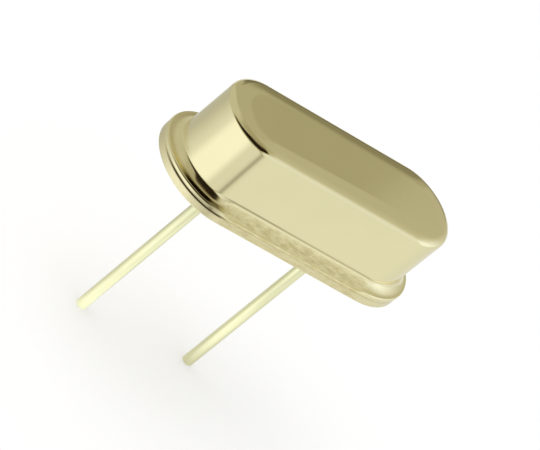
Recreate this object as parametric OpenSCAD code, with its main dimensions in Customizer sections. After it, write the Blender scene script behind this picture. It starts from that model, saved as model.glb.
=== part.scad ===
// Low-profile metal-can quartz crystal unit with two wire leads.
// Origin: centre of the header's underside, which is the seating plane.
// +Z points up to the can's top, +X along the can, -Y to its front side.

/* [Can] */
// Length of the can over its straight wall, end to end
can_l = 10.0; // [9:0.1:11.5]
// Width of the can over its straight wall, front to back
can_w = 3.56; // [3.2:0.02:4.2]
// Height from the seating plane to the can's top
case_h = 3.28; // [3:0.02:4]
// Thickness of the drawn sheet
sheet_t = 0.22; // [0.15:0.01:0.25]
// Outside radius round the can's top edge
top_r = 0.27; // [0.25:0.01:0.5]

/* [Foot of the can] */
// Radius of the hollow flare between the wall and the flange
flare_r = 0.42; // [0.36:0.01:0.5]
// How far the small step at the flare's top stands out from the wall
step_out = 0.04; // [0.035:0.005:0.06]
// Height of the step above the flare
step_h = 0.035; // [0.03:0.005:0.06]
// Radius of the step's edge
step_r = 0.03; // [0.01:0.005:0.03]
// Radius of the crease between the wall and the step
crease_r = 0.02; // [0.01:0.005:0.04]
// How far the flange reaches out from the wall
flange_out = 0.45; // [0.4:0.01:0.5]
// Thickness of the flange at its edge
flange_t = 0.2; // [0.16:0.01:0.25]
// Radius of the flange's upper edge
flange_top_r = 0.07; // [0.05:0.005:0.1]
// Radius of the flange's lower edge, at the seam
seam_r = 0.03; // [0.01:0.01:0.05]

/* [Header] */
// Thickness of the header's flange
header_t = 0.34; // [0.25:0.01:0.5]
// How far the header's edge lies inside the can's flange
header_in = 0.01; // [0:0.005:0.05]
// Radius of the header's lower outer edge
foot_r = 0.05; // [0.02:0.01:0.1]
// Height of the plateau that stands up inside the can
plateau_h = 0.4; // [0.3:0.01:0.6]
// Clearance between the plateau and the can's wall
plateau_gap = 0.08; // [0.04:0.01:0.15]
// Radius of the plateau's upper edge
plateau_r = 0.08; // [0.02:0.01:0.12]
// Depth of the stamped recess in the underside
recess_h = 0.1; // [0.05:0.01:0.2]
// Width of the flat rim round the recess
recess_rim = 0.85; // [0.75:0.01:0.95]

/* [Leads and glass seals] */
// Distance between the two leads
lead_pitch = 4.88; // [4.5:0.02:5.2]
// Diameter of a lead below the seal, with its tin
lead_d = 0.43; // [0.35:0.01:0.5]
// Thickness of the tin on a lead
tin_t = 0.005; // [0.002:0.001:0.01]
// Length of a lead below the seating plane
lead_l = 7.5; // [3:0.1:14]
// Chamfer on a lead's lower end
tip_c = 0.05; // [0.01:0.01:0.08]
// Length of a lead between the plateau and its head
stand_h = 0.22; // [0.15:0.01:0.4]
// Diameter of the flat head on a lead's upper end
head_d = 0.75; // [0.6:0.01:0.9]
// Thickness of that head
head_t = 0.12; // [0.08:0.01:0.2]
// Diameter of a glass seal
seal_d = 1.5; // [1.3:0.02:1.7]
// How far the glass dips between the lead and the header
dip_h = 0.06; // [0.02:0.01:0.1]

/* [Spring clips] */
// Thickness of the clip's sheet
clip_t = 0.1; // [0.06:0.01:0.15]
// Width of a clip
clip_w = 1.3; // [1.1:0.02:1.6]
// Inside radius of a clip's bend
bend_r = 0.08; // [0.04:0.01:0.15]
// How far the foot reaches past the lead's axis, towards the middle
foot_in = 0.5; // [0.42:0.01:0.7]
// How far the blank reaches past the clip's outer face
grip_out = 0.2; // [0.1:0.01:0.35]
// Clearance on each side of the blank in the slot
slot_gap = 0.04; // [0.03:0.005:0.08]
// How far the arms' tops stay below the blank's upper edge
grip_in = 0.4; // [0.2:0.02:0.6]
// How far the slot's mouth flares on each side
flare = 0.12; // [0.06:0.01:0.18]
// Radius of the arms' tops
arm_r = 0.2; // [0.1:0.01:0.25]

/* [Quartz blank] */
// Clearance between each end of the blank and the can's wall
end_gap = 0.78; // [0.6:0.02:1]
// Clearance between the blank's upper edge and the can's ceiling
roof_gap = 0.15; // [0.08:0.01:0.4]
// Thickness of the blank
blank_t = 0.14; // [0.1:0.01:0.3]
// Clearance between the blank's lower edge and the clip's foot
blank_gap = 0.1; // [0.04:0.01:0.15]
// Length of an electrode
film_l = 3.6; // [3:0.1:4.5]
// How far an electrode stays inside the blank's long edges
film_in = 0.2; // [0.1:0.02:0.3]
// Thickness of an electrode
film_t = 0.02; // [0.01:0.005:0.025]
// Height of an electrode's tab
tab_h = 0.5; // [0.3:0.05:0.7]
// Corner radius of an electrode
film_r = 0.2; // [0.1:0.05:0.4]
// Diameter of a bead of adhesive
bead_d = 0.9; // [0.7:0.05:1]
// How far a bead of adhesive covers the blank's end
bead_over = 0.1; // [0.04:0.01:0.2]

/* [Hidden] */
$fn = 96;

// Colours
gold = "#e6dba6";
plate_gold = "#d9cd98";
tin_gold = "#f0ecca";
glass_green = "#3e5a50";
nickel = "#c9c5bb";
quartz_clear = "#dfe8ea";
film_silver = "#d8d8dc";
bead_silver = "#a9a7a2";

// Cuts run this far past the faces that they open
past = 0.1;
// A bend's inside radius is never smaller
least_r = 0.03;

// The body's outline is two half rounds about centres this far to each side
end_x = (can_l - can_w) / 2;

// Distances out from the line between those centres
wall_r = can_w / 2;
wall_in_r = wall_r - sheet_t;
step_edge_r = wall_r + step_out;
flange_edge_r = wall_r + flange_out;
header_edge_r = flange_edge_r - header_in;
plateau_edge_r = wall_in_r - plateau_gap;
recess_edge_r = header_edge_r - recess_rim;

// Heights in the can
ceiling_z = case_h - sheet_t;
top_in_r = max(top_r - sheet_t, least_r);

// The flare is an arc that would run smoothly into the wall, and the flange's upper edge is an
// arc that runs smoothly into the flare
flare_x = wall_r + flare_r;
edge_x = flange_edge_r - flange_top_r;
edge_z = header_t + flange_t - flange_top_r;
flare_z = edge_z + sqrt(pow(flare_r + flange_top_r, 2) - pow(flare_x - edge_x, 2));
step_z = flare_z - sqrt(pow(flare_r, 2) - pow(flare_r - step_out, 2));
step_top_z = step_z + step_h;

// Heights in the header and the leads
plateau_z = header_t + plateau_h;
neck_z = plateau_z + stand_h;
head_z = neck_z + head_t;
lead_x = lead_pitch / 2;
tin_r = lead_d / 2;
core_r = tin_r - tin_t;
seal_r = seal_d / 2;

// The clips stand on the heads, and the blank stands in the clips
foot_z = head_z + clip_t;
blank_z = foot_z + blank_gap;
blank_top_z = ceiling_z - roof_gap;
blank_h = blank_top_z - blank_z;
blank_end_x = can_l / 2 - sheet_t - end_gap;
arm_out_x = blank_end_x - grip_out;
arm_in_x = arm_out_x - clip_t;
arm_top_z = blank_top_z - grip_in;
foot_x = lead_x - foot_in;
slot_w = blank_t + 2 * slot_gap;
mouth_w = slot_w + 2 * flare;
film_h = blank_h - 2 * film_in;
film_y = blank_t / 2;
bead_h = grip_out + bead_over;
bead_z = (blank_z + arm_top_z) / 2;

// ---- Profile tools: a square corner to cut away, or to fill, round a quarter circle ----

// What a convex corner at (x, z) loses, where the body lies towards (dx, dz)
module corner_loss(x, z, r, dx, dz) {
    translate([x, z])
        scale_sign(dx, dz)
            difference() {
                translate([-past, -past])
                    square([r + past, r + past]);
                translate([r, r])
                    circle(r);
            }
}

// What a concave corner at (x, z) gains, where the open side lies towards (dx, dz)
module corner_gain(x, z, r, dx, dz) {
    translate([x, z])
        scale_sign(dx, dz)
            difference() {
                translate([-past / 2, -past / 2])
                    square([r + past / 2, r + past / 2]);
                translate([r, r])
                    circle(r);
            }
}

// Mirrors its children so that +X and +Y point towards the signs given
module scale_sign(dx, dz) {
    mirror([dx < 0 ? 1 : 0, 0])
        mirror([0, dz < 0 ? 1 : 0])
            children();
}

// Carries a half profile, drawn out from the middle line, round the whole oblong outline
module oblong() {
    for (side = [0, 180])
        rotate(side)
            translate([end_x, 0, 0])
                rotate(-90)
                    rotate_extrude(angle = 180)
                        children();
    rotate([90, 0, 90])
        linear_extrude(2 * end_x, center = true) {
            children();
            mirror([1, 0])
                children();
        }
}

// ---- Can ----

// The flare, from the step down to the top of the flange's edge, as a solid half profile
module flare_outline() {
    difference() {
        polygon([
            [0, header_t], [0, step_z], [step_edge_r, step_z],
            [flare_x, flare_z], [edge_x, edge_z], [edge_x, header_t]
        ]);
        translate([flare_x, flare_z])
            circle(flare_r);
    }
    intersection() {
        translate([edge_x, edge_z])
            circle(flange_top_r);
        translate([0, header_t])
            square([flange_edge_r, flare_z - header_t]);
    }
}

// Outside of the can, as a solid half profile
module can_outline() {
    difference() {
        union() {
            translate([0, header_t])
                square([wall_r, case_h - header_t]);
            translate([0, header_t])
                square([step_edge_r, step_top_z - header_t]);
            translate([0, header_t])
                square([flange_edge_r, edge_z - header_t]);
            flare_outline();
            corner_gain(wall_r, step_top_z, crease_r, 1, 1);
        }
        corner_loss(wall_r, case_h, top_r, -1, -1);
        corner_loss(step_edge_r, step_top_z, step_r, -1, -1);
        corner_loss(flange_edge_r, header_t, seam_r, -1, 1);
    }
}

// Hollow of the can: the straight bore, and the mouth that opens along the flare
module can_hollow() {
    difference() {
        translate([0, header_t - past])
            square([wall_in_r, ceiling_z - header_t + past]);
        corner_loss(wall_in_r, ceiling_z, top_in_r, -1, -1);
    }
    difference() {
        translate([0, header_t - past])
            square([flare_x, flare_z - header_t + past]);
        translate([flare_x, flare_z])
            circle(flare_r + sheet_t);
    }
}

module can() {
    color(gold)
        oblong()
            difference() {
                can_outline();
                can_hollow();
            }
}

// ---- Header ----

// Half profile of the stamped plate: a flange, a plateau inside the can and a recess below
module header_outline() {
    difference() {
        union() {
            square([header_edge_r, header_t]);
            square([plateau_edge_r, plateau_z]);
        }
        corner_loss(plateau_edge_r, plateau_z, plateau_r, -1, -1);
        corner_loss(header_edge_r, header_t, seam_r, -1, -1);
        corner_loss(header_edge_r, 0, foot_r, -1, 1);
        difference() {
            translate([0, -past])
                square([recess_edge_r, recess_h + past]);
            corner_loss(recess_edge_r, recess_h, recess_h / 2, -1, -1);
        }
    }
}

module header() {
    color(plate_gold)
        difference() {
            oblong()
                header_outline();
            for (side = [-1, 1])
                translate([side * lead_x, 0, -past])
                    cylinder(r = seal_r, h = plateau_z + 2 * past);
        }
}

// ---- Glass seals and leads ----

// Half profile of a glass bead, with a dished face above and below
module seal_outline() {
    span = seal_r - core_r;
    dish_r = (span * span / 4 + dip_h * dip_h) / (2 * dip_h);
    mid_r = (seal_r + core_r) / 2;
    difference() {
        translate([core_r, recess_h])
            square([span, plateau_z - recess_h]);
        translate([mid_r, plateau_z + dish_r - dip_h])
            circle(dish_r);
        translate([mid_r, recess_h - dish_r + dip_h])
            circle(dish_r);
    }
}

module glass_seal(side) {
    color(glass_green)
        translate([side * lead_x, 0, 0])
            rotate_extrude()
                seal_outline();
}

// Half profile of a lead: tinned wire below the seal, bare core in it, flat head on top
module lead_outline() {
    translate([0, -lead_l])
        difference() {
            square([tin_r, lead_l + recess_h]);
            translate([tin_r, 0])
                polygon([[-tip_c, 0], [0, tip_c], [past, tip_c], [past, -past], [-tip_c, -past]]);
        }
    square([core_r, head_z]);
    difference() {
        translate([0, neck_z])
            square([head_d / 2, head_t]);
        corner_loss(head_d / 2, head_z, head_t / 3, -1, -1);
        corner_loss(head_d / 2, neck_z, head_t / 3, -1, 1);
    }
}

module lead(side) {
    color(tin_gold)
        translate([side * lead_x, 0, 0])
            rotate_extrude()
                lead_outline();
}

// ---- Spring clips ----

// Side view of a clip: a foot on the lead's head, a bend, and an upright near the blank's end
module clip_side() {
    difference() {
        union() {
            translate([foot_x, head_z])
                square([arm_out_x - foot_x, clip_t]);
            translate([arm_in_x, head_z])
                square([clip_t, arm_top_z - head_z]);
            corner_gain(arm_in_x, foot_z, bend_r, -1, 1);
        }
        corner_loss(arm_out_x, head_z, bend_r + clip_t, -1, 1);
    }
}

// Front view of a clip: two arms with round tops, beside a slot with a flared mouth
module clip_front() {
    difference() {
        translate([-clip_w / 2, head_z])
            square([clip_w, arm_top_z - head_z]);
        for (turn = [-1, 1])
            corner_loss(turn * clip_w / 2, arm_top_z, arm_r, -turn, -1);
        translate([-slot_w / 2, blank_z])
            square([slot_w, arm_top_z - blank_z + past]);
        translate([0, arm_top_z - flare])
            polygon([
                [-slot_w / 2, 0], [slot_w / 2, 0],
                [mouth_w / 2, flare], [mouth_w / 2, flare + past],
                [-mouth_w / 2, flare + past], [-mouth_w / 2, flare]
            ]);
    }
}

module clip(side) {
    color(nickel)
        mirror([side < 0 ? 1 : 0, 0, 0])
            intersection() {
                rotate([90, 0, 0])
                    linear_extrude(clip_w, center = true)
                        clip_side();
                rotate([90, 0, 90])
                    linear_extrude(can_l)
                        clip_front();
            }
}

// ---- Quartz blank, electrodes and adhesive ----

module quartz_blank() {
    color(quartz_clear)
        translate([-blank_end_x, -blank_t / 2, blank_z])
            cube([2 * blank_end_x, blank_t, blank_h]);
}

// Outline of an electrode, with its tab running to one end of the blank
module film_outline() {
    difference() {
        square([film_l, film_h], center = true);
        for (dx = [-1, 1], dz = [-1, 1])
            corner_loss(dx * film_l / 2, dz * film_h / 2, film_r, -dx, -dz);
    }
    translate([0, -tab_h / 2])
        square([blank_end_x, tab_h]);
}

// side is -1 for the front film, whose tab runs left, and 1 for the back film
module electrode(side) {
    mid_z = blank_z + blank_h / 2;
    y = side < 0 ? -film_y : film_y + film_t;
    color(film_silver)
        translate([0, y, mid_z])
            mirror([side < 0 ? 1 : 0, 0, 0])
                rotate([90, 0, 0])
                    linear_extrude(film_t)
                        film_outline();
}

// A cap of adhesive on one face of a clip, bulging along X
module bead(side) {
    cap_r = (bead_d * bead_d / 4 + bead_h * bead_h) / (2 * bead_h);
    rotate([0, side * 90, 0])
        rotate_extrude()
            difference() {
                intersection() {
                    translate([0, bead_h - cap_r])
                        circle(cap_r);
                    square([bead_d, bead_h]);
                }
                translate([-cap_r - past, -cap_r])
                    square([cap_r + past, 2 * cap_r + bead_h]);
            }
}

// A cap outside and one inside the clip, joined through its slot, round the blank's end
module adhesive(side) {
    plug_l = clip_t + past;
    color(bead_silver)
        difference() {
            mirror([side < 0 ? 1 : 0, 0, 0]) {
                translate([arm_out_x, 0, bead_z])
                    bead(1);
                translate([arm_in_x, 0, bead_z])
                    bead(-1);
                translate([(arm_in_x + arm_out_x) / 2, 0, bead_z])
                    cube([plug_l, slot_w, bead_d / 2], center = true);
            }
            quartz_blank();
            electrode(-1);
            electrode(1);
        }
}

can();
header();
glass_seal(-1);  // glass_seal_left
glass_seal(1);  // glass_seal_right
lead(-1);  // lead_left
lead(1);  // lead_right
clip(-1);  // clip_left
clip(1);  // clip_right
quartz_blank();
electrode(-1);  // electrode_front
electrode(1);  // electrode_back
adhesive(-1);  // adhesive_left
adhesive(1);  // adhesive_right
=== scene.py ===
"""Dresses the crystal unit: a drawn gold-coloured can, its header, glass seals and wire leads."""

import math

import bpy
import numpy as np
from bpy.props import FloatProperty, FloatVectorProperty, PointerProperty
from mathutils import Matrix, Vector


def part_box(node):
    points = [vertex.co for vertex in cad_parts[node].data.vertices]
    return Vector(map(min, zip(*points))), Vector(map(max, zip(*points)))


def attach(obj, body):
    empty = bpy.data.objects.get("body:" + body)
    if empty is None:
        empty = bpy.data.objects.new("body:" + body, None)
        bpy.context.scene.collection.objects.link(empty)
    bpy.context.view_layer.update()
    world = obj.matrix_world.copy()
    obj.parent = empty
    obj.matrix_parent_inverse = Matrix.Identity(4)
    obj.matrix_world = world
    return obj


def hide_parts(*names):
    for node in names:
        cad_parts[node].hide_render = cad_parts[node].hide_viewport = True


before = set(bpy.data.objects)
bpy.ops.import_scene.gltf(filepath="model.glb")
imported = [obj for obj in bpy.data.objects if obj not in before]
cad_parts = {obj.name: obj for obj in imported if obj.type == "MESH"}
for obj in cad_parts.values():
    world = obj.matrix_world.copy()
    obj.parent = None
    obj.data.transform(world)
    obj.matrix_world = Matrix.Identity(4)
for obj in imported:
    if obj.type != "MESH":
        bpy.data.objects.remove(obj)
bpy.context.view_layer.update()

bl_info = {
    "name": "Crystal unit",
    "version": (1, 0, 0),
    "blender": (4, 5, 0),
    "location": "View3D > Sidebar > Crystal unit",
    "description": "Builds a low-profile metal-can crystal unit round its CAD frame",
    "category": "Object",
}

MM = 0.001
SIDES = (-1, "left"), (1, "right")

# The frame gives the outer limits: the can's top and edge, the header's edge and plateau, and the
# ends of the leads. Shapes are worked out in millimetres, and new_piece() brings them to metres.
CAN_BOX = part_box("can")
HEADER_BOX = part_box("header")
LEAD_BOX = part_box("lead_right")


# ---- Profiles: lists of points and outward normals, in millimetres ----

BEND_STEP, BEND_LEAST = 4, 5  # degrees between the points of a bend, and its fewest points
TURN_WEIGHT = 0.1  # millimetres of length that a change of 1 in the normal counts for
SAME_PLACE = 1e-6  # points closer than this are the same point


def arc(cx, cz, r, start, end, count, hollow=False):
    """Points cx + r cos a, cz + r sin a for angles a from start to end, in degrees. The normals
    point away from the centre, or towards it where the arc is hollow."""
    a = np.radians(np.linspace(start, end, count))
    turn = np.stack([np.cos(a), np.sin(a)], 1)
    return np.array([cx, cz]) + r * turn, -turn if hollow else turn


def run(ax, az, bx, bz, count):
    """Evenly spaced points on the straight line from a to b, with the normal on its left side."""
    t = np.linspace(0, 1, count)[:, None]
    a, b = np.array([ax, az]), np.array([bx, bz])
    d = (b - a) / np.linalg.norm(b - a)
    return a + t * (b - a), np.repeat([[-d[1], d[0]]], count, 0)


def bend(x, z, tilt, turns):
    """A chain of arcs, each carrying on smoothly from the one before. It starts at (x, z) with the
    normal's elevation at tilt, going down. Each turn is a radius, less than 0 where the arc is
    hollow, and the elevation at its end."""
    pieces = []
    for radius, end in turns:
        a, b = math.radians(tilt), math.radians(end)
        cx, cz = x - radius * math.cos(a), z - radius * math.sin(a)
        turned = 0 if radius > 0 else 180
        count = max(BEND_LEAST, round(abs(end - tilt) / BEND_STEP))
        pieces.append(
            arc(cx, cz, abs(radius), turned + tilt, turned + end, count, hollow=radius < 0)
        )
        x, z, tilt = cx + radius * math.cos(b), cz + radius * math.sin(b), end
    return chain(*pieces)


def chain(*pieces):
    """Joins stretches into one profile and drops each point that repeats the one before with the
    same normal."""
    p = np.concatenate([q[0] for q in pieces])
    n = np.concatenate([q[1] for q in pieces])
    step = np.linalg.norm(np.diff(p, axis=0), axis=1) + np.linalg.norm(np.diff(n, axis=0), axis=1)
    keep = np.r_[True, step > SAME_PLACE]
    return p[keep], n[keep]


def evenly(profile, count):
    """The same profile with the given number of points, spaced evenly by length plus turning."""
    p, n = profile
    length = np.linalg.norm(np.diff(p, axis=0), axis=1)
    step = length + TURN_WEIGHT * np.linalg.norm(np.diff(n, axis=0), axis=1)
    way = np.r_[0, np.cumsum(step)]
    at = np.linspace(0, way[-1], count)
    p, n = (np.stack([np.interp(at, way, q[:, k]) for k in (0, 1)], 1) for q in (p, n))
    return p, n / np.linalg.norm(n, axis=1, keepdims=True)


# ---- Surfaces: a profile carried along a path, as grids of points and normals ----

# Points round each half circle and along each straight side
CAN_COUNTS = 128, 60
HEADER_COUNTS = 96, 48
# Points round a lead or a seal, and round a hole for a seal
ROUND_COUNT, HOLE_COUNT = 64, 96
# Points are merged on a grid with this many cells to the millimetre
CELLS_PER_MM = 2e4


def oblong_path(end_x, round_count, straight_count):
    """A closed path round the line between two centres at +-end_x, as base points on that line and
    unit outward directions. Two half circles of directions stand at the centres, and two straight
    stretches join them."""
    a = np.radians(np.linspace(-90, 90, round_count + 1))
    s = np.linspace(1, -1, straight_count + 1)[1:-1] * end_x
    base = np.concatenate([np.full(len(a), end_x), s, np.full(len(a), -end_x), -s])
    back, front = np.full(len(s), np.pi / 2), np.full(len(s), 1.5 * np.pi)
    turn = np.concatenate([a, back, a + np.pi, front])
    return base, np.stack([np.cos(turn), np.sin(turn)], 1)


def along_oblong(profile, end_x, counts):
    """Grid of points base + o * direction at height z, for each profile point (o, z) and each path
    point, and the normals, turned the same way. Rows follow the profile, columns the path."""
    p, n = profile
    base, turn = oblong_path(end_x, *counts)
    point = np.empty((len(p), len(base), 3))
    normal = np.empty_like(point)
    point[..., 0] = base + p[:, :1] * turn[:, 0]
    point[..., 1] = p[:, :1] * turn[:, 1]
    point[..., 2] = p[:, 1:]
    normal[..., 0] = n[:, :1] * turn[:, 0]
    normal[..., 1] = n[:, :1] * turn[:, 1]
    normal[..., 2] = n[:, 1:]
    return point, normal


def around_axis(profile, x, count=ROUND_COUNT):
    """Grid of points x + o cos a, o sin a at height z, for each profile point (o, z) and each
    angle a, and the normals, turned the same way."""
    a = np.linspace(0, 2 * np.pi, count, endpoint=False)
    point, normal = (
        np.stack([q[:, :1] * np.cos(a), q[:, :1] * np.sin(a), np.repeat(q[:, 1:], count, 1)], -1)
        for q in profile
    )
    point[..., 0] += x
    return point, normal


def mixed(grids, shares):
    """At each path point, the sum of share * grid over the grids, for the points and for the
    normals, which are brought back to length 1."""
    point, normal = (sum(share * grid[k] for share, grid in zip(shares, grids)) for k in (0, 1))
    return point, normal / np.linalg.norm(normal, axis=-1, keepdims=True)


def grid_faces(point, normal):
    """Quads between neighbouring rows and columns of a grid, numbered row by row, with the last
    column joined to the first. They are turned round where the sum of (diagonal x diagonal) .
    normal over them is negative."""
    rows, cols = point.shape[:2]
    i, j = np.arange(rows - 1)[:, None], np.arange(cols)[None, :]
    k = (j + 1) % cols
    quad = [i * cols + j, i * cols + k, (i + 1) * cols + k, (i + 1) * cols + j]
    faces = np.stack(np.broadcast_arrays(*quad), -1).reshape(-1, 4)
    a, b, c, d = (point.reshape(-1, 3)[faces[:, corner]] for corner in range(4))
    n = normal.reshape(-1, 3)
    side = np.einsum("ij,ij->", np.cross(c - a, d - b), n[faces[:, 0]] + n[faces[:, 2]])
    return faces if side > 0 else faces[:, ::-1]


def new_piece(name, grids, material, replaced, marks=None):
    """One mesh object from grids of points in millimetres and their normals. Points that share a
    place are merged, so poles and seams are closed, and each corner keeps the normal that was
    worked out for it. The marks are values at the points, kept as named attributes."""
    points = np.concatenate([point.reshape(-1, 3) for point, _ in grids])
    normals = np.concatenate([normal.reshape(-1, 3) for _, normal in grids])
    starts = np.cumsum([0] + [point[..., 0].size for point, _ in grids])
    faces = np.concatenate([start + grid_faces(*grid) for grid, start in zip(grids, starts)])
    cells = np.round(points * CELLS_PER_MM).astype(np.int64)
    _, first, same = np.unique(cells, axis=0, return_index=True, return_inverse=True)
    corner = same.ravel()[faces]
    own = corner != np.roll(corner, 1, axis=1)
    good = own.sum(1) >= 3
    size = own[good].sum(1)
    mesh = bpy.data.meshes.new(name)
    mesh.vertices.add(len(first))
    mesh.vertices.foreach_set("co", (points[first] * MM).astype(np.float32).ravel())
    mesh.loops.add(int(size.sum()))
    mesh.loops.foreach_set("vertex_index", corner[good][own[good]].astype(np.int32))
    mesh.polygons.add(len(size))
    mesh.polygons.foreach_set("loop_start", (np.cumsum(size) - size).astype(np.int32))
    mesh.update(calc_edges=True)
    if mesh.validate():
        raise RuntimeError(f"{name} has faulty faces")
    mesh.shade_smooth()
    for label, values in (marks or {}).items():
        layer = mesh.attributes.new(label, "FLOAT", "POINT")
        layer.data.foreach_set("value", values.ravel().astype(np.float32)[first])
    mesh.normals_split_custom_set(normals[faces[good][own[good]]].tolist())
    mesh.materials.append(material)
    piece = bpy.data.objects.new(name, mesh)
    bpy.context.scene.collection.objects.link(piece)
    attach(piece, "root")
    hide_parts(*replaced)


# ---- Materials ----


class Graph:
    """A node tree, built up through short calls that add a node, set it and join it."""

    def __init__(self, tree):
        self.nodes, self.links = tree.nodes, tree.links

    def add(self, kind, **settings):
        node = self.nodes.new(kind)
        for key, value in settings.items():
            setattr(node, key, value)
        return node

    def join(self, source, target):
        self.links.new(source, target)

    def put(self, value, socket):
        """Sets a socket to a number or a colour, or joins a node's output to it."""
        if isinstance(value, (int, float)):
            socket.default_value = value
        elif isinstance(value, (tuple, list)):
            socket.default_value = (*value[:3], 1)
        else:
            self.join(value, socket)

    def work_out(self, operation, a, b=0.0):
        node = self.add("ShaderNodeMath", operation=operation)
        self.put(a, node.inputs[0])
        self.put(b, node.inputs[1])
        return node.outputs["Value"]

    def plus(self, a, b):
        return self.work_out("ADD", a, b)

    def times(self, a, b):
        return self.work_out("MULTIPLY", a, b)

    def larger(self, a, b):
        return self.work_out("MAXIMUM", a, b)

    def span(self, value, low, high, to_low=0.0, to_high=1.0):
        """Maps a value smoothly from one range to another, held at both ends."""
        node = self.add("ShaderNodeMapRange", interpolation_type="SMOOTHSTEP")
        limits = {"From Min": low, "From Max": high, "To Min": to_low, "To Max": to_high}
        for key, number in limits.items():
            node.inputs[key].default_value = number
        self.join(value, node.inputs["Value"])
        return node.outputs["Result"]

    def below(self, value, low, high):
        """1 below low, fading to 0 at high."""
        return self.span(value, low, high, 1.0, 0.0)

    def band(self, value, low, high, soft, softer=None):
        """1 between low and high, fading to 0 over soft below and over softer above."""
        above = self.span(value, low - soft, low)
        return self.times(above, self.below(value, high, high + (softer or soft)))

    def level(self, share, first, second):
        """Goes from one number to another as the share goes from 0 to 1."""
        node = self.add("ShaderNodeMix", data_type="FLOAT")
        for value, place in ((share, 0), (first, 2), (second, 3)):
            self.put(value, node.inputs[place])
        return node.outputs[0]

    def lay(self, light, *patches):
        """Lays patches over a light, one after the other. Each is its share and its level."""
        for share, level in patches:
            light = self.level(share, light, level)
        return light

    def blend(self, share, first, second):
        """Mixes two colours, given as numbers or as node outputs."""
        node = self.add("ShaderNodeMix", data_type="RGBA")
        self.put(share, node.inputs[0])
        colors = (socket for socket in node.inputs if socket.type == "RGBA")
        for value, socket in zip((first, second), colors):
            self.put(value, socket)
        return [socket for socket in node.outputs if socket.type == "RGBA"][0]

    def split(self, place):
        """The x, y and z of a node output."""
        node = self.add("ShaderNodeSeparateXYZ")
        self.join(place, node.inputs[0])
        return [node.outputs[axis] for axis in "XYZ"]

    def heading(self, x, y):
        """Azimuth in degrees from -180 to 180, with 0 towards the front and 90 towards +X."""
        return self.times(self.work_out("ARCTAN2", x, self.times(y, -1.0)), 180 / math.pi)


class Finish(Graph):
    """A node-based material round one Principled shader."""

    def __init__(self, name):
        self.material = bpy.data.materials.new(name)
        self.material.use_nodes = True
        super().__init__(self.material.node_tree)
        self.shader = self.nodes["Principled BSDF"]
        self.place = self.add("ShaderNodeTexCoord").outputs["Object"]

    def scaled(self, scale):
        """Object coordinates, stretched by one number or by one for each axis, per metre."""
        node = self.add("ShaderNodeMapping")
        node.inputs["Scale"].default_value = scale if isinstance(scale, tuple) else (scale,) * 3
        self.join(self.place, node.inputs["Vector"])
        return node.outputs["Vector"]

    def noise(self, scale, detail, rough):
        node = self.add("ShaderNodeTexNoise")
        node.inputs["Scale"].default_value = 1.0
        node.inputs["Detail"].default_value = detail
        node.inputs["Roughness"].default_value = rough
        self.join(self.scaled(scale), node.inputs["Vector"])
        return node.outputs["Fac"]

    def cells(self, scale):
        """Distance from the middle of the nearest of many scattered cells."""
        node = self.add("ShaderNodeTexVoronoi")
        node.inputs["Scale"].default_value = 1.0
        self.join(self.scaled(scale), node.inputs["Vector"])
        return node.outputs["Distance"]

    def attribute(self, name):
        return self.add("ShaderNodeAttribute", attribute_name=name).outputs["Fac"]

    def relief(self, height, depth, strength=1.0, below=None):
        """Bump of the given depth in metres, on top of the one below."""
        node = self.add("ShaderNodeBump")
        node.inputs["Distance"].default_value = depth
        node.inputs["Strength"].default_value = strength
        self.join(height, node.inputs["Height"])
        if below is not None:
            self.join(below, node.inputs["Normal"])
        return node.outputs["Normal"]

    def wear(self, color, roughness, normal, **plain):
        """Sets the shader: node outputs for what varies, plain numbers on the shader's sockets."""
        for key, value in (("Base Color", color), ("Roughness", roughness), ("Normal", normal)):
            self.join(value, self.shader.inputs[key])
        for key, value in plain.items():
            self.shader.inputs[key.replace("_", " ")].default_value = value
        return self.material


def shade(color, *by):
    """The colour times one number, or times one number for each of its three parts."""
    return tuple(c * k for c, k in zip(color, by if len(by) == 3 else by * 3))


# Colour of the painted shade in the crease, in the left end's flare and in the seam between can and
# plate
PAINTED_SHADE_COLOR = (0.10, 0.07, 0.025)
# Marks of the shear on a worked edge: scale along each axis, detail and roughness of the noise
SHEAR = (2800, 8000, 12000), 4, 0.65
# Heights between which the can's finish changes, the foot's band is less mottled and so lighter, or
# its mottle gives way to a painted highlight under the crease
FLANGE_TO_BAND = 0.34 * MM, 0.38 * MM
LESS_MOTTLED = 0.40 * MM, 0.45 * MM
MOTTLE_TO_HIGHLIGHT = 0.66 * MM, 0.70 * MM
WALL_TO_TOP = 3.0 * MM, 3.2 * MM


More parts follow.
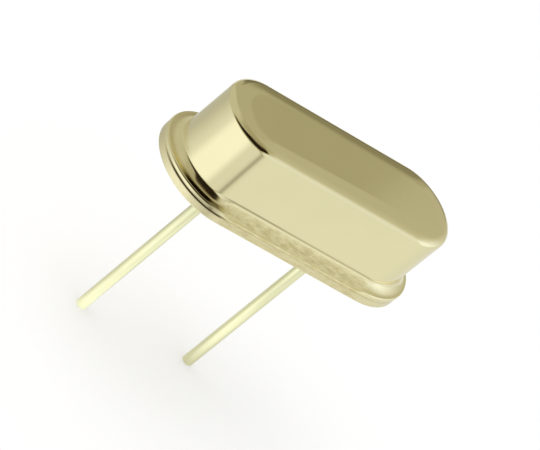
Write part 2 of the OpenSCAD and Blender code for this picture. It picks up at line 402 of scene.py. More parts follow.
def can_finish(color, roughness):
    """Polished drawn sheet: faint streaks up the walls, fine hairlines, a coarse worked band at the
    foot with a painted highlight just under the crease, and painted shade in the crease, in the
    left end's flare and in the seam."""
    f = Finish("can_gold")
    _, _, height = f.split(f.place)
    worked, painted_shade, satin = (f.attribute(name) for name in ("worked", "painted_shade", "satin"))
    cloud, drawn = f.noise(260, 4, 0.6), f.noise((5200, 5200, 260), 3, 0.55)
    shear, shade_noise = f.noise(*SHEAR), f.noise(700, 3, 0.6)

    tint = f.blend(f.span(cloud, 0.35, 0.65), shade(color, 0.975), color)
    flange = f.blend(f.span(shear, 0.4, 0.65, 0.0, 0.7), tint, shade(color, 0.80, 0.76, 0.63))
    line = f.level(f.band(height, *LESS_MOTTLED, 0.03 * MM, 0.06 * MM), 1.0, 0.4)
    mottle_below_highlight = f.times(f.times(f.span(shear, 0.36, 0.62), f.below(height, *MOTTLE_TO_HIGHLIGHT)), line)
    # The brighter colour is a painted highlight: it alone fills the band above the mottle's fade,
    # just under the crease, and it mottles with the darker colour below that, more where the mottle
    # thins
    band = f.blend(mottle_below_highlight, shade(color, 1.12, 1.11, 1.05), shade(color, 0.99, 0.955, 0.84))
    tone = f.blend(worked, tint, f.blend(f.span(height, *FLANGE_TO_BAND), flange, band))
    # Painted shade: the crease, the left end's flare and the seam darken towards a dark brown, a
    # little unevenly
    tone = f.blend(f.times(painted_shade, f.span(shade_noise, 0.4, 0.6, 0.85, 1.0)), tone, PAINTED_SHADE_COLOR)

    polish = f.level(f.span(height, *WALL_TO_TOP), roughness, 0.5 * roughness)
    rough = f.plus(polish, f.span(drawn, 0.35, 0.75, 0.0, 0.03))
    rough = f.plus(rough, f.times(worked, f.span(shear, 0.3, 0.7, 0.30, 0.50)))
    rough = f.plus(rough, f.times(satin, 0.3))

    fine = f.relief(drawn, 0.2e-6, 0.35)
    coarse = f.relief(f.times(worked, shear), 16e-6, below=fine)
    return f.wear(tone, rough, coarse, Metallic=1.0)


def header_finish(color, roughness):
    """Plated stamped plate: a sheared edge with fine lines along it, a satin underside with a
    stamped grain, and painted shade along its seam with the can."""
    f = Finish("header_gold")
    worked = f.attribute("worked")
    cloud, grain, shear = f.noise(330, 4, 0.6), f.noise(7000, 2, 0.5), f.noise(*SHEAR)
    tint = f.blend(f.span(cloud, 0.35, 0.65), shade(color, 0.95), color)
    dull = f.blend(f.span(shear, 0.4, 0.65, 0.0, 0.7), tint, shade(color, 0.82, 0.78, 0.70))
    # Painted shade darkens the plate along its seam with the can
    tone = f.blend(f.attribute("painted_shade"), f.blend(worked, tint, dull), PAINTED_SHADE_COLOR)
    satin = f.plus(roughness, f.span(grain, 0.3, 0.7, 0.0, 0.08))
    fine = f.relief(grain, 0.8e-6, 0.4)
    coarse = f.relief(f.times(worked, shear), 14e-6, below=fine)
    return f.wear(tone, f.plus(satin, f.times(worked, 0.32)), coarse, Metallic=1.0)


def wire_finish(color):
    """Tinned wire: draw lines along its length and slightly cloudy tin."""
    f = Finish("tinned_wire")
    cloud, lines = f.noise((900, 900, 260), 4, 0.6), f.noise((9000, 9000, 160), 3, 0.6)
    tone = f.blend(f.span(cloud, 0.35, 0.7), color, shade(color, 0.9))
    rough = f.plus(f.span(cloud, 0.3, 0.7, 0.24, 0.34), f.span(lines, 0.35, 0.7, 0.0, 0.06))
    return f.wear(tone, rough, f.relief(lines, 1.2e-6, 0.5), Metallic=1.0)


def seal_finish():
    """Fused dark glass, smooth, with tiny bubbles and a faint flow of colour."""
    f = Finish("dark_glass")
    flow = f.noise(1500, 3, 0.5)
    tone = f.blend(f.span(flow, 0.35, 0.65), (0.022, 0.040, 0.034), (0.045, 0.075, 0.062))
    bubbles = f.relief(f.span(f.cells(9000), 0.0, 0.25), 3e-6, 0.25)
    return f.wear(tone, f.span(flow, 0.3, 0.7, 0.06, 0.14), bubbles, Coat_Weight=0.5, IOR=1.52)


def clip_finish():
    """Nickel-plated spring sheet with rolling lines."""
    f = Finish("clip_nickel")
    lines = f.noise((600, 9000, 600), 3, 0.6)
    tone = f.blend(f.span(lines, 0.3, 0.7), (0.60, 0.58, 0.53), (0.68, 0.66, 0.61))
    rough = f.span(lines, 0.3, 0.7, 0.22, 0.36)
    return f.wear(tone, rough, f.relief(lines, 0.8e-6, 0.4), Metallic=1.0)


def quartz_finish():
    """Clear lapped quartz with a fine satin grain."""
    f = Finish("lapped_quartz")
    grain = f.noise(20000, 2, 0.5)
    tone = f.blend(f.span(grain, 0.3, 0.7), (0.86, 0.90, 0.91), (0.93, 0.96, 0.97))
    rough = f.span(grain, 0.3, 0.7, 0.12, 0.26)
    satin = f.relief(grain, 0.4e-6, 0.3)
    return f.wear(tone, rough, satin, Transmission_Weight=0.85, IOR=1.544)


def film_finish():
    """Evaporated silver film, mirror-like, with a faint haze."""
    f = Finish("silver_film")
    haze = f.noise(1800, 4, 0.6)
    tone = f.blend(f.span(haze, 0.35, 0.7), (0.86, 0.85, 0.83), (0.76, 0.75, 0.72))
    rough = f.span(haze, 0.3, 0.7, 0.10, 0.22)
    return f.wear(tone, rough, f.relief(haze, 0.3e-6, 0.3), Metallic=1.0)


def adhesive_finish():
    """Cured resin full of silver flakes: dull grey with tiny glints."""
    f = Finish("silver_resin")
    flakes = f.cells(16000)
    tone = f.blend(f.below(flakes, 0.15, 0.5), (0.30, 0.295, 0.28), (0.55, 0.545, 0.53))
    rough = f.span(flakes, 0.1, 0.5, 0.38, 0.68)
    return f.wear(tone, rough, f.relief(flakes, 4e-6, 0.5), Metallic=0.45)


# ---- Settings ----


class CanSettings(bpy.types.PropertyGroup):
    """Sizes and finish of the drawn can."""

    length: FloatProperty(
        name="Length", description="Over the straight wall", default=10.0 * MM, unit="LENGTH"
    )
    width: FloatProperty(
        name="Width", description="Over the straight wall", default=3.56 * MM, unit="LENGTH"
    )
    sheet: FloatProperty(
        name="Sheet", description="Thickness of the sheet", default=0.22 * MM, unit="LENGTH"
    )
    top_round: FloatProperty(
        name="Top radius", description="Outside, round the top", default=0.27 * MM, unit="LENGTH"
    )
    flare: FloatProperty(
        name="Flare", description="Radius of the hollow flare", default=0.42 * MM, unit="LENGTH"
    )
    color: FloatVectorProperty(
        name="Gold", description="Colour of the metal", subtype="COLOR", size=3,
        default=(0.89, 0.815, 0.49),
    )
    roughness: FloatProperty(
        name="Roughness", description="Of the polished wall", subtype="FACTOR", default=0.10,
        min=0.02, max=0.6,
    )


class HeaderSettings(bpy.types.PropertyGroup):
    """Sizes and finish of the header plate and its glass seals."""

    plate: FloatProperty(
        name="Plate", description="Thickness of the flange", default=0.34 * MM, unit="LENGTH"
    )
    recess: FloatProperty(
        name="Recess", description="Depth under the plate", default=0.1 * MM, unit="LENGTH"
    )
    rim: FloatProperty(
        name="Rim", description="Width round the recess", default=0.85 * MM, unit="LENGTH"
    )
    seal: FloatProperty(
        name="Seal", description="Diameter of a glass seal", default=1.5 * MM, unit="LENGTH"
    )
    dip: FloatProperty(
        name="Dip", description="Dish of the glass", default=0.06 * MM, unit="LENGTH"
    )
    color: FloatVectorProperty(
        name="Plate gold", description="Colour of the plate", subtype="COLOR", size=3,
        default=(0.87, 0.79, 0.48),
    )
    roughness: FloatProperty(
        name="Roughness", description="Of the plate", subtype="FACTOR", default=0.16,
        min=0.02, max=0.6,
    )


class LeadSettings(bpy.types.PropertyGroup):
    """Sizes and finish of the two wire leads."""

    pitch: FloatProperty(
        name="Pitch", description="Between the leads", default=4.88 * MM, unit="LENGTH"
    )
    diameter: FloatProperty(
        name="Diameter", description="Below the seal", default=0.43 * MM, unit="LENGTH"
    )
    head: FloatProperty(
        name="Head", description="Diameter of the upper end", default=0.75 * MM, unit="LENGTH"
    )
    color: FloatVectorProperty(
        name="Tin", description="Colour of the wire", subtype="COLOR", size=3,
        default=(0.94, 0.915, 0.575),
    )


class StageSettings(bpy.types.PropertyGroup):
    """Floor, light and camera."""

    floor: FloatVectorProperty(
        name="Floor", description="Colour of the floor", subtype="COLOR", size=3,
        default=(0.8, 0.8, 0.8),
    )
    light: FloatProperty(
        name="Light", description="Strength of the surrounding light", default=0.8, min=0.0
    )
    azimuth: FloatProperty(
        name="Azimuth", description="Of the camera", subtype="ANGLE",
        default=math.radians(-38.0297),
    )
    elevation: FloatProperty(
        name="Elevation", description="Of the camera", subtype="ANGLE",
        default=math.radians(29.9534),
    )
    roll: FloatProperty(
        name="Roll", description="Of the camera", subtype="ANGLE", default=math.radians(50.6769)
    )
    distance: FloatProperty(
        name="Distance", description="From the camera to the unit", unit="LENGTH",
        default=148.368 * MM,
    )
    focal: FloatProperty(
        name="Focal length", description="Of the lens, in millimetres", unit="CAMERA",
        default=292.535,
    )
    aim: FloatVectorProperty(
        name="Aim", description="Point at the middle of the view", size=3, subtype="TRANSLATION",
        default=(-0.07721 * MM, -0.23584 * MM, -0.40492 * MM),
    )


# ---- The can ----

# A foot is the elevation at the end of its first, hollow arc, the height of its last arc's end over
# the flange's underside, and its other arcs. Along the front a crease and a small step lead to a
# slope, at the right end they lead to a lip, and elsewhere a plain hollow leads to a lip.
CREASED_FOOT = 75, 0.03, [(0.07, 20), (-0.20, 42), (-1.90, 55), (0.06, 0)]
STEPPED_FOOT = 75, 0.145, [(0.07, 20), (-0.18, 45), (-0.73, 60), (-0.30, 88), (0.055, 0)]
PLAIN_FOOT = 43, 0.12, [(-1.27, 50), (-0.26, 72), (-0.46, 89), (0.075, 0)]
FOOT_COUNT = 78
# The top is flat up to here, falls on an arc to this tilt, and then turns down to the wall
CROWN_AT, CROWN_R, CROWN_TILT = 0.96, 4.6, 5.0
TOP_TURNS = [(0.45, 50), (0.22, 0)]
LIP_R = 0.03  # of the flange's lower edge
MOUTH_Z = 0.958  # height of the centre of the hollow inside the mouth
LAST_WALL = 0.04  # length of the finer stretch of wall above the foot
CHANGE_FROM, CHANGE_OVER = -0.35, 0.6  # where the foot changes its shape, past an end's start
WORKED_TOP = 0.78  # height up to which the foot is worked


class CRYSTAL_OT_can(bpy.types.Operator):
    """Builds the drawn can over its CAD node"""

    bl_idname = "crystal_unit.can"
    bl_label = "Can"

    def execute(self, context):
        s = context.scene.crystal_can
        plate = context.scene.crystal_header.plate / MM
        wall = s.width / 2 / MM
        end_x = s.length / 2 / MM - wall
        feet = [can_profile(s, plate, foot) for foot in (CREASED_FOOT, STEPPED_FOOT, PLAIN_FOOT)]
        grids = [along_oblong(profile, end_x, CAN_COUNTS) for profile, _ in feet]
        point, normal = mixed(grids, foot_shares(end_x, wall))
        creased, crease_z = grids[0][0], feet[0][1]
        flare_seam_shade = flare_seam_shade_share(point, end_x, wall, plate)
        marks = {
            "worked": worked_share(point, end_x, WORKED_TOP),
            # Painted shade in the crease, in the left end's flare and in the seam
            "painted_shade": np.maximum(crease_shade_share(creased, crease_z), flare_seam_shade),
            "satin": satin_share(point, end_x),
        }
        metal = can_finish(tuple(s.color), s.roughness)
        new_piece("can_shell", [(point, normal)], metal, ["can"], marks)
        return {"FINISHED"}


def can_profile(s, foot_z, foot):
    """The sheet's section, from the middle of the top, out and down the outside, and back up the
    inside. The top is flat, and falls a little before its rounding. The foot is the given chain of
    arcs, whose first arc takes up the width that the others leave. The height at which the foot
    starts comes with the section."""
    wall, sheet, top_r, flare = (q / MM for q in (s.width / 2, s.sheet, s.top_round, s.flare))
    top_z, out = CAN_BOX[1].z / MM, CAN_BOX[1].y / MM
    first, edge_low, turns = foot
    reach, _ = bend(0, 0, first, turns)
    crease_r = (out - wall - reach[-1, 0]) / (1 - math.cos(math.radians(first)))
    crease_z = foot_z + edge_low - reach[-1, 1] + crease_r * math.sin(math.radians(first))
    crown = arc(CROWN_AT, top_z - CROWN_R, CROWN_R, 90, 90 - CROWN_TILT, 12)
    turn_in, _ = bend(0, 0, 90 - CROWN_TILT, TOP_TURNS)
    start = wall - turn_in[-1, 0]
    slope = math.tan(math.radians(CROWN_TILT))
    sag = top_z - crown[0][-1, 1] + (start - crown[0][-1, 0]) * slope
    shoulder = bend(start, top_z - sag, 90 - CROWN_TILT, TOP_TURNS)
    lip = arc(out - LIP_R, foot_z + LIP_R, LIP_R, 0, -90, 6)
    outside = [
        run(0, top_z, CROWN_AT, top_z, 6),
        crown,
        shoulder,
        run(wall, shoulder[0][-1, 1], wall, crease_z + LAST_WALL, 8),
        run(wall, crease_z + LAST_WALL, wall, crease_z, 5),
        evenly(chain(bend(wall, crease_z, 0, [(-crease_r, first), *turns]), lip), FOOT_COUNT),
    ]
    inner, ceiling, top_in = wall - sheet, top_z - sheet, top_r - sheet
    mouth_x, mouth_r = wall + flare, flare + sheet
    end = math.degrees(math.asin((MOUTH_Z - foot_z) / mouth_r))
    inside = [
        run(out - LIP_R, foot_z, mouth_x - mouth_r * math.cos(math.radians(end)), foot_z, 3),
        arc(mouth_x, MOUTH_Z, mouth_r, 180 + end, 180, 12),
        run(inner, MOUTH_Z, inner, ceiling - top_in, 3),
        arc(inner - top_in, ceiling - top_in, top_in, 0, 90, 6, hollow=True),
        run(inner - top_in, ceiling, 0, ceiling, 4),
    ]
    return chain(*outside, *inside), crease_z


def rising(value, start, width):
    """0 up to the start, and then rising evenly to 1 over the width."""
    return np.clip((value - start) / width, 0, 1)


def falling(value, end, width):
    """1 at first, and then falling evenly over the width to 0 at the end."""
    return np.clip((end - value) / width, 0, 1)


def foot_shares(end_x, wall):
    """The share of each shape of the foot along the path: creased on the front side, stepped round
    the right end and plain elsewhere, with a smooth change where the straight sides meet the
    ends."""
    base, turn = oblong_path(end_x, *CAN_COUNTS)
    x = base + wall * turn[:, 0]
    ends = rising(np.abs(x) - end_x, CHANGE_FROM, CHANGE_OVER)
    ends = (3 - 2 * ends) * ends**2
    right = ends * (x > 0)
    front = (1 - ends) * (turn[:, 1] < 0)
    return [share[:, None] for share in (front, right, 1 - front - right)]


# Marks: how worked or satin the metal is, or how much painted shade it takes, from 0 to 1, by place
# in millimetres


def beyond(x, y, end_x):
    """Distance from the line between the centres of the two ends."""
    return np.hypot(np.maximum(np.abs(x) - end_x, 0), y)


def worked_share(point, end_x, top_z):
    """How worked the metal is: full on the foot's straight sides below the given height, none on
    the walls and round the ends."""
    x, z = point[..., 0], point[..., 2]
    return falling(z, top_z, 0.06) * falling(np.abs(x), end_x + 0.1, 0.3)


def crease_shade_share(point, crease_z):
    """How much painted shade lies in the crease over the front foot: most on the line, fading over
    0.03 mm above and below it, and more towards the left."""
    x, z = point[..., 0], point[..., 2]
    line = np.clip(1 - np.abs(z - crease_z) / 0.03, 0, 1) * falling(np.abs(x), 3.5, 0.4)
    return line * np.clip(0.42 - 0.18 * x, 0.38, 0.7)


def flare_seam_shade_share(point, end_x, wall, plate):
    """How much painted shade the metal takes at the front of the left end, in the flare's trough
    and less on the lip beside it, and how much it takes in the seam."""
    x, y, z = point[..., 0], point[..., 1], point[..., 2]
    far = beyond(x, y, end_x) - wall
    trough = rising(far, 0.2, 0.05) * falling(far, 0.415, 0.02) * rising(x, -5.0, 0.27)
    lip = 0.4 * rising(far, 0.39, 0.02) * rising(x, -4.7, 0.7)
    on_flare = (y < 0) * (z < 1) * (z > plate)
    flare = np.maximum(trough, lip) * falling(x, -3.2, 0.3) * on_flare
    return np.maximum(flare, seam_shade_share(point, plate))


def seam_shade_share(point, plate):
    """How much painted shade lies in the seam between can and plate: full at the front of the left
    end, and a little at the right end."""
    x, y, z = point[..., 0], point[..., 1], point[..., 2]
    ends = falling(x, -2.9, 0.4) * falling(y, -0.2, 1.0) + 0.2 * rising(x, 3.0, 0.4)
    return np.clip(1.7 - np.abs(z - plate) / 0.04, 0, 1) * ends


def satin_share(point, end_x):
    """How satin the foot is: full round the back half of the left end, fading to none on the wall
    and in front."""
    x, y, z = point[..., 0], point[..., 1], point[..., 2]
    left = rising(-x - end_x, -0.3, 0.3)
    return rising(y, -0.9, 0.6) * falling(z, 1.0, 0.12) * left


# ---- The header and its seals ----

PLATEAU_GAP = 0.08  # between the plateau and the inside of the can
PLATEAU_R, SEAM_R, RIM_R = 0.08, 0.04, 0.05  # round the plateau, and the upper and lower edges
SHEARED = 0.08  # depth of the finer upper stretch of the plate's edge
FACE_EDGE = 0.02  # narrow stretch of flat face beside each rounding
FACE_ROWS, MIDDLE_COUNT = 7, 25  # rows round a hole, and points across the middle of a face
TIN = 0.005  # thickness of the tin on a lead below its seal


class CRYSTAL_OT_header(bpy.types.Operator):
    """Builds the header plate and the two glass seals over their CAD nodes"""

    bl_idname = "crystal_unit.header"
    bl_label = "Header and seals"

    def execute(self, context):
        scene = context.scene
        s, c, lead = scene.crystal_header, scene.crystal_can, scene.crystal_leads
        end_x = (c.length - c.width) / 2 / MM
        plateau = c.width / 2 / MM - c.sheet / MM - PLATEAU_GAP
        pitch, plate = lead.pitch / 2 / MM, s.plate / MM
        grids = header_grids(s, end_x, plateau, pitch)
        marks = {
            "worked": np.concatenate([worked_edge(p, plate, end_x).ravel() for p, _ in grids]),
            # Painted shade along the seam with the can
            "painted_shade": np.concatenate([seam_shade_share(p, plate).ravel() for p, _ in grids]),
        }
        metal = header_finish(tuple(s.color), s.roughness)
        new_piece("header_plate", grids, metal, ["header"], marks)
        ring = seal_profile(s, lead.diameter / 2 / MM - TIN)
        glass = seal_finish()
        for side, name in SIDES:
            grid = around_axis(ring, side * pitch)
            new_piece(f"seal_bead_{name}", [grid], glass, [f"glass_seal_{name}"])
        return {"FINISHED"}


def header_grids(s, end_x, plateau, pitch):
    """The plate's rim as a profile carried round the oblong, its two flat faces, each cut by two
    round holes, and the walls of the two holes."""
    edge, top_z = HEADER_BOX[1].y / MM, HEADER_BOX[1].z / MM
    plate, recess, seal = s.plate / MM, s.recess / MM, s.seal / 2 / MM
    hollow = edge - s.rim / MM
    upper = plateau - PLATEAU_R - FACE_EDGE
    lower = hollow - recess / 2 - FACE_EDGE
    rim = chain(
        run(upper, top_z, plateau - PLATEAU_R, top_z, 2),
        arc(plateau - PLATEAU_R, top_z - PLATEAU_R, PLATEAU_R, 90, 0, 8),
        run(plateau, top_z - PLATEAU_R, plateau, plate, 2),
        run(plateau, plate, edge - SEAM_R, plate, 3),
        arc(edge - SEAM_R, plate - SEAM_R, SEAM_R, 90, 0, 6),
        run(edge, plate - SEAM_R, edge, plate - SHEARED, 3),
        run(edge, plate - SHEARED, edge, RIM_R, 3),
        arc(edge - RIM_R, RIM_R, RIM_R, 0, -90, 8),
        run(edge - RIM_R, 0, hollow, 0, 3),
        run(hollow, 0, hollow, recess / 2, 2),
        arc(hollow - recess / 2, recess / 2, recess / 2, 0, 90, 6, hollow=True),
        run(hollow - recess / 2, recess, lower, recess, 2),
    )
    grids = [along_oblong(rim, end_x, HEADER_COUNTS)]
    for outer, z, up in ((upper, top_z, 1), (lower, recess, -1)):
        grids += [pierced_half(outer, end_x, seal, side * pitch, z, up) for side, _ in SIDES]
    wall = run(seal, recess, seal, top_z, 3)
    return grids + [around_axis(wall, side * pitch, HOLE_COUNT) for side, _ in SIDES]


def pierced_half(outer, end_x, hole, hole_x, z, up):
    """One half of a flat oblong with a round hole: each point of the half's border is joined to the
    point of the hole's rim in the same direction, by rows that divide the way evenly."""
    base, turn = oblong_path(end_x, *HEADER_COUNTS)
    x, y = base + outer * turn[:, 0], outer * turn[:, 1]
    keep = x * np.sign(hole_x) > -SAME_PLACE
    middle = np.linspace(-outer, outer, MIDDLE_COUNT)[1:-1]
    x, y = np.concatenate([x[keep], np.zeros_like(middle)]), np.concatenate([y[keep], middle])
    angle = np.arctan2(y, x - hole_x)
    order = np.argsort(angle)
    x, y, angle = x[order], y[order], angle[order]
    rim_x, rim_y = hole_x + hole * np.cos(angle), hole * np.sin(angle)
    t = np.linspace(0, 1, FACE_ROWS)[:, None]
    flat = np.full((FACE_ROWS, len(x)), z)
    point = np.stack([rim_x + t * (x - rim_x), rim_y + t * (y - rim_y), flat], -1)
    normal = np.zeros_like(point)
    normal[..., 2] = up
    return point, normal


def worked_edge(point, plate, end_x):
    """How worked the plate is: full on its outer edge's straight sides, less round the ends."""
    x, y, z = point[..., 0], point[..., 1], point[..., 2]
    edge = HEADER_BOX[1].y / MM
    rim = rising(beyond(x, y, end_x) - edge, -0.12, 0.08) * (z < plate + 0.01)
    return rim * np.clip((end_x + 0.1 - np.abs(x)) / 0.3, 0.25, 1)


def seal_profile(s, core):
    """Ring between lead and plate whose upper and lower faces are dished by an arc."""
    seal, dip = s.seal / 2 / MM, s.dip / MM
    low, high = s.recess / MM, HEADER_BOX[1].z / MM
    span, middle = seal - core, (seal + core) / 2
    r = (span * span / 4 + dip * dip) / (2 * dip)
    half = math.degrees(math.asin(span / 2 / r))
    return chain(
        (np.array([[core, low], [core, high]]), np.array([[-1, 0], [-1, 0]])),
        arc(middle, high + r - dip, r, 270 - half, 270 + half, 12, hollow=True),
        (np.array([[seal, high], [seal, low]]), np.array([[1, 0], [1, 0]])),
        arc(middle, low - r + dip, r, 90 - half, 90 + half, 12, hollow=True),
    )


# ---- The leads ----

TIP_BEVEL, HEAD_T = 0.05, 0.12  # bevel of the cut tip, and thickness of the head
SLANT = 0.7071  # each part of a normal that stands at 45 degrees


class CRYSTAL_OT_leads(bpy.types.Operator):
    """Builds the two wire leads over their CAD nodes"""

    bl_idname = "crystal_unit.leads"
    bl_label = "Leads"

    def execute(self, context):
        s = context.scene.crystal_leads
        profile = lead_profile(s, context.scene.crystal_header.recess / MM)
        wire = wire_finish(tuple(s.color))
        for side, name in SIDES:
            grid = around_axis(profile, side * s.pitch / 2 / MM)
            new_piece(f"wire_{name}", [grid], wire, [f"lead_{name}"])
        return {"FINISHED"}


def lead_profile(s, seat_z):
    """Round wire from its flat head down to its cut tip: headed end, bare core, tinned length from
    the seat down, and bevel."""
    tip_z, top_z = LEAD_BOX[0].z / MM, LEAD_BOX[1].z / MM
    radius, head = s.diameter / 2 / MM, s.head / 2 / MM
    core, neck, r = radius - TIN, top_z - HEAD_T, HEAD_T / 3
    tip, bevel_z = radius - TIP_BEVEL, tip_z + TIP_BEVEL
    bevel = np.array([[radius, bevel_z], [tip, tip_z]]), np.full((2, 2), [SLANT, -SLANT])
    return chain(
        run(0, top_z, head - r, top_z, 2),
        arc(head - r, top_z - r, r, 90, 0, 6),
        arc(head - r, neck + r, r, 0, -90, 6),
        run(head - r, neck, core, neck, 2),
        run(core, neck, core, seat_z, 6),
        run(core, seat_z, radius, seat_z, 2),
        run(radius, seat_z, radius, bevel_z, 40),
        bevel,
        run(tip, tip_z, 0, tip_z, 2),
    )


# ---- The inner pieces, which keep their CAD meshes ----


class CRYSTAL_OT_insides(bpy.types.Operator):
    """Gives the sealed inner pieces their finishes"""

    bl_idname = "crystal_unit.insides"
    bl_label = "Inner pieces"

    def execute(self, context):
        finishes = {
            clip_finish: ("clip_left", "clip_right"),
            quartz_finish: ("quartz_blank",),
            film_finish: ("electrode_front", "electrode_back"),
            adhesive_finish: ("adhesive_left", "adhesive_right"),
        }
        for finish, names in finishes.items():
            material = finish()
            for name in names:
                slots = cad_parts[name].material_slots
                if not slots:
                    raise RuntimeError(f"{name} has no material slot")
                for one in slots:
                    one.material = material
        return {"FINISHED"}


# ---- Floor, light and camera, in metres ----

FLOOR_RADIUS, FLOOR_SIDES = 3, 64
MIRRORED_MATT = 0.25  # share of the matt floor that is left where it is mirrored
SEEN_GLOW = 0.30  # lifts the floor to white where it is seen
SEEN_SKY = 1.05  # strength of the white room where it is seen
# The painted near pool of light, which only mirrored rays see, fades between these distances
NEAR_LEADS = 8 * MM, 13 * MM  # the near pool of light fades between these distances
# Colours of dim and of bright light, in the painted pools on the floor and in the room
FLOOR_TINTS = (1.02, 1.0, 0.86), (1.0, 1.035, 1.08)
SKY_TINTS = (1.07, 1.0, 0.70), (1.0, 1.05, 1.2)
DARK_TINT = (1.2, 0.7, 0.3)
LAMP_PLACE, LAMP_SIZE, LAMP_POWER = (-0.06, 0.02, 0.14), 0.12, 0.035
LAMP_COLOR = (1.0, 0.99, 0.97)
SENSOR_WIDTH = 36
CLIP_NEAR, CLIP_FAR = 0.001, 20


class CRYSTAL_OT_stage(bpy.types.Operator):
    """Makes the floor, the surrounding light, the lamp and the camera"""

    bl_idname = "crystal_unit.stage"
    bl_label = "Stage"

    def execute(self, context):
        s = context.scene.crystal_stage
        make_floor(tuple(s.floor), LEAD_BOX[0].z)
        make_surroundings(s.light)
        make_lamp()
        make_camera(s)
        context.scene.view_settings.view_transform = "Standard"
        return {"FINISHED"}


def make_floor(color, z):
    """A round plain floor under the leads' tips, as points r cos a, r sin a. It is matt and takes
    the unit's shadow, it is lifted to white where it is seen, and what mirrors it sees pools of
    light and a dark streak painted on it as a glow, which no lamp casts."""
    a = np.linspace(0, 2 * np.pi, FLOOR_SIDES, endpoint=False)
    ring = np.stack([FLOOR_RADIUS * np.cos(a), FLOOR_RADIUS * np.sin(a), np.full(len(a), z)], 1)
    mesh = bpy.data.meshes.new("floor")
    mesh.from_pydata(ring.tolist(), [], [list(range(FLOOR_SIDES))])
    f = Finish("floor_pale")
    f.nodes.remove(f.shader)
    path = f.add("ShaderNodeLightPath")
    mirrored = path.outputs["Is Glossy Ray"]
    matt = f.add("ShaderNodeBsdfDiffuse")
    f.join(f.blend(mirrored, color, shade(color, MIRRORED_MATT)), matt.inputs["Color"])
    x, y, _ = f.split(f.place)
    distance = f.add("ShaderNodeVectorMath", operation="LENGTH")
    f.join(f.place, distance.inputs[0])
    # Pools of light painted on the floor as a glow, for mirrored rays only
    painted_pool_level = painted_floor_pools(f, f.heading(x, y), distance.outputs["Value"])
    painted_pool_glow = f.plus(painted_pool_level, -MIRRORED_MATT * color[0])  # what the matt floor adds is taken off
    seen = f.larger(path.outputs["Is Camera Ray"], path.outputs["Is Transmission Ray"])
    glow = f.add("ShaderNodeEmission")
    f.join(f.plus(f.times(seen, SEEN_GLOW), f.times(mirrored, painted_pool_glow)), glow.inputs["Strength"])
    f.join(f.blend(mirrored, (1.0, 1.0, 1.0), tinted(f, painted_pool_level, *FLOOR_TINTS)), glow.inputs["Color"])
    both = f.add("ShaderNodeAddShader")
    f.join(matt.outputs["BSDF"], both.inputs[0])
    f.join(glow.outputs["Emission"], both.inputs[1])
    f.join(both.outputs["Shader"], f.nodes["Material Output"].inputs["Surface"])
    mesh.materials.append(f.material)
    floor = bpy.data.objects.new("floor", mesh)
    bpy.context.scene.collection.objects.link(floor)


def painted_floor_pools(g, azimuth, distance):
    """Painted light on the floor, a glow that only mirrored rays see, by direction from the unit,
    in degrees: bright at the front left, dimmer in front with a narrow dark streak, plain to the
    right, and fading towards the left back. Close to the leads it is bright in front."""
    light = g.lay(
        g.level(g.band(azimuth, -78, -46, 22, 16), 0.86, 1.10),
        (g.below(azimuth, -150, -88), 0.56),
        (g.span(azimuth, 48, 90), 0.81),
        (g.band(azimuth, -28, 4, 8, 10), 0.82),
        (g.band(azimuth, -10, 1, 6), 0.76),
        (g.band(azimuth, -5, -2, 5), 0.46),
    )
    near = g.level(g.band(azimuth, -75, 40, 35, 45), 0.74, 1.16)
    return g.level(g.span(distance, *NEAR_LEADS), near, light)


def sky_light(g, azimuth, elevation):
    """Light round the room by direction, in degrees: a dim back with a darker foot, a bright window
    at the right front, a dimmer ceiling, and a dark place at the left front whose upper part leans
    to the right."""
    back = g.lay(
        g.level(g.band(azimuth, 30, 140.8, 60, 0.6), 0.46, 0.50),
        (g.times(g.band(azimuth, 141.4, 143.2, 0.2, 1.2), g.below(elevation, 31, 36)), 0.40),
        (g.times(g.band(azimuth, 142.6, 158, 0.6, 8), g.below(elevation, 22, 28)), 0.25),
        (g.times(g.band(azimuth, 137, 158, 5, 8), g.below(elevation, 12, 20)), 0.16),
        (g.band(azimuth, -170, -112, 20), 0.58),
    )
    window = g.times(g.band(azimuth, 10, 62, 20, 78), g.below(elevation, 28, 66))
    ceiling = g.span(elevation, 58, 80)
    lean = g.times(g.larger(g.plus(elevation, -22.0), 0.0), -1.0)
    across = g.band(g.plus(azimuth, lean), -90, -8, 13, 16)
    dark = g.times(across, g.band(elevation, 20, 61, 13, 22))
    bright = g.span(azimuth, 38, 58, 0.85, 1.08)
    return g.lay(back, (window, bright), (ceiling, 0.38), (dark, 0.012))


def tinted(g, light, dim, bright):
    """Goes from the brown of what is nearly dark, over the warm colour of dim light, to the faintly
    cool colour of bright light."""
    tint = g.blend(g.span(light, 0.2, 1.1), dim, bright)
    return g.blend(g.span(light, 0.0, 0.22), DARK_TINT, tint)


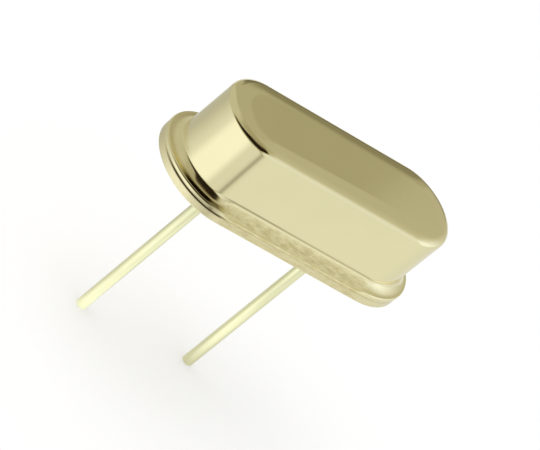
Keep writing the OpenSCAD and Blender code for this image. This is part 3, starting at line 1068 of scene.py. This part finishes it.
def make_surroundings(strength):
    """White room for what is seen directly and for the soft light, and the studio's windows and
    walls for what is mirrored."""
    world = bpy.data.worlds.new("studio")
    bpy.context.scene.world = world
    world.use_nodes = True
    g = Graph(world.node_tree)
    g.nodes.clear()
    x, y, z = g.split(g.add("ShaderNodeTexCoord").outputs["Generated"])
    light = sky_light(g, g.heading(x, y), g.times(g.work_out("ARCSINE", z), 180 / math.pi))
    path = g.add("ShaderNodeLightPath")
    mirrored = g.add("ShaderNodeBackground")
    g.join(tinted(g, light, *SKY_TINTS), mirrored.inputs["Color"])
    g.join(light, mirrored.inputs["Strength"])
    plain = g.add("ShaderNodeBackground")
    plain.inputs["Color"].default_value = (1, 1, 1, 1)
    g.join(g.level(path.outputs["Is Camera Ray"], strength, SEEN_SKY), plain.inputs["Strength"])
    pick = g.add("ShaderNodeMixShader")
    g.join(path.outputs["Is Glossy Ray"], pick.inputs["Fac"])
    g.join(plain.outputs["Background"], pick.inputs[1])
    g.join(mirrored.outputs["Background"], pick.inputs[2])
    g.join(pick.outputs["Shader"], g.add("ShaderNodeOutputWorld").inputs["Surface"])


def make_lamp():
    """A large soft lamp above and to the left, for a gentle shadow."""
    lamp = bpy.data.lights.new("soft_lamp", "AREA")
    lamp.shape = "DISK"
    lamp.size = LAMP_SIZE
    lamp.energy = LAMP_POWER
    lamp.color = LAMP_COLOR
    holder = bpy.data.objects.new("soft_lamp", lamp)
    holder.location = LAMP_PLACE
    holder.rotation_euler = Vector(LAMP_PLACE).to_track_quat("Z", "Y").to_euler()
    holder.visible_glossy = False
    bpy.context.scene.collection.objects.link(holder)


def make_camera(s):
    """The camera stands at its distance from the aim point, in the direction of its azimuth and
    elevation, and is turned about its own axis by the roll."""
    ca, sa = math.cos(s.azimuth), math.sin(s.azimuth)
    ce, se = math.cos(s.elevation), math.sin(s.elevation)
    back = Vector((sa * ce, -ca * ce, se))
    level = Vector((ca, sa, 0))
    upright = back.cross(level)
    right = math.cos(s.roll) * level + math.sin(s.roll) * upright
    up = math.cos(s.roll) * upright - math.sin(s.roll) * level
    data = bpy.data.cameras.new("camera")
    data.lens = s.focal
    data.sensor_width = SENSOR_WIDTH
    data.clip_start, data.clip_end = CLIP_NEAR, CLIP_FAR
    holder = bpy.data.objects.new("camera", data)
    turn = Matrix((right, up, back)).transposed().to_4x4()
    holder.matrix_world = Matrix.Translation(Vector(s.aim) + s.distance * back) @ turn
    bpy.context.scene.collection.objects.link(holder)
    bpy.context.scene.camera = holder


# ---- Panel and registering ----


class CRYSTAL_PT_panel(bpy.types.Panel):
    """Lists the unit's steps and settings"""

    bl_label = "Crystal unit"
    bl_idname = "CRYSTAL_PT_panel"
    bl_space_type = "VIEW_3D"
    bl_region_type = "UI"
    bl_category = "Crystal unit"

    def draw(self, context):
        for step, _, group in STEPS:
            box = self.layout.box()
            box.operator(step.bl_idname)
            if group:
                settings = getattr(context.scene, group)
                for name in settings.__annotations__:
                    box.prop(settings, name)


SETTINGS = {
    "crystal_can": CanSettings,
    "crystal_header": HeaderSettings,
    "crystal_leads": LeadSettings,
    "crystal_stage": StageSettings,
}
STEPS = (
    (CRYSTAL_OT_can, bpy.ops.crystal_unit.can, "crystal_can"),
    (CRYSTAL_OT_header, bpy.ops.crystal_unit.header, "crystal_header"),
    (CRYSTAL_OT_leads, bpy.ops.crystal_unit.leads, "crystal_leads"),
    (CRYSTAL_OT_insides, bpy.ops.crystal_unit.insides, None),
    (CRYSTAL_OT_stage, bpy.ops.crystal_unit.stage, "crystal_stage"),
)


def register():
    for group in SETTINGS.values():
        bpy.utils.register_class(group)
    for name, group in SETTINGS.items():
        setattr(bpy.types.Scene, name, PointerProperty(type=group))
    for step, _, _ in STEPS:
        bpy.utils.register_class(step)
    bpy.utils.register_class(CRYSTAL_PT_panel)


def unregister():
    bpy.utils.unregister_class(CRYSTAL_PT_panel)
    for step, _, _ in reversed(STEPS):
        bpy.utils.unregister_class(step)
    for name in SETTINGS:
        delattr(bpy.types.Scene, name)
    for group in reversed(list(SETTINGS.values())):
        bpy.utils.unregister_class(group)


def main():
    register()
    for _, call, _ in STEPS:
        call()


if __name__ == "__main__":
    main()
